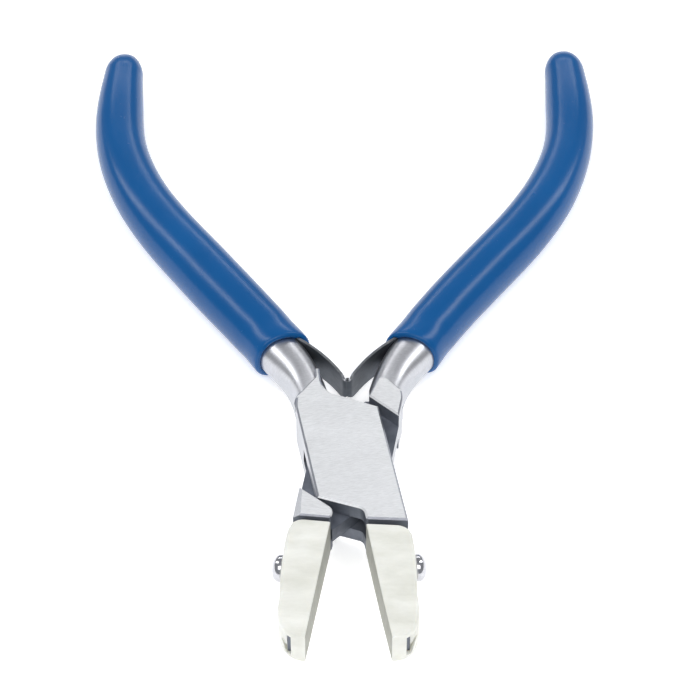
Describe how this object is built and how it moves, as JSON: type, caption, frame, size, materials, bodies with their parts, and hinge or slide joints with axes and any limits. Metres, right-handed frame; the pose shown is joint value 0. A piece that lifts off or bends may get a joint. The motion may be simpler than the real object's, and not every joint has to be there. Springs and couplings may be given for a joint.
{
  "type": "nylon-jaw flat-nose pliers",
  "caption": "Small box-joint flat-nose pliers with nylon jaws, leaf-spring return and dipped plastic grips, lying flat and open.",
  "frame": {"origin": "on the pivot axis, in the plane of the joint's back face", "axes": "+Z along the pivot axis toward the front cheek, +Y toward the handles, -Y toward the jaws, +X to the right seen from the front"},
  "size_m": [0.0963, 0.1457, 0.0104],
  "materials": {
    "brushed_steel": "satin brushed, dark oxide inside the joint",
    "blue_pvc": "smooth semi-gloss dipped PVC",
    "dark_spring_steel": "dark tempered spring steel",
    "nylon": "satin off-white nylon",
    "plated_screw": "bright plated"
  },
  "bodies": {
    "box_side": {"box_half": "brushed_steel", "pivot_pin": "brushed_steel", "left_grip": "blue_pvc", "left_spring": "dark_spring_steel", "left_spring_rivet": "dark_spring_steel", "right_nylon_jaw": "nylon", "right_jaw_screw": "plated_screw"},
    "tongue_side": {"tongue_half": "brushed_steel", "right_grip": "blue_pvc", "right_spring": "dark_spring_steel", "right_spring_rivet": "dark_spring_steel", "left_nylon_jaw": "nylon", "left_jaw_screw": "plated_screw"}
  },
  "joints": [
    {"name": "pivot", "type": "hinge", "parent": "box_side", "child": "tongue_side", "pos_m": [0, 0, 0.0048], "axis": [0, 0, 1], "range_deg": [-3, 20.6], "stiffness_Nm_per_rad": 0.6, "deforming": ["left_spring", "right_spring"]}
  ]
}
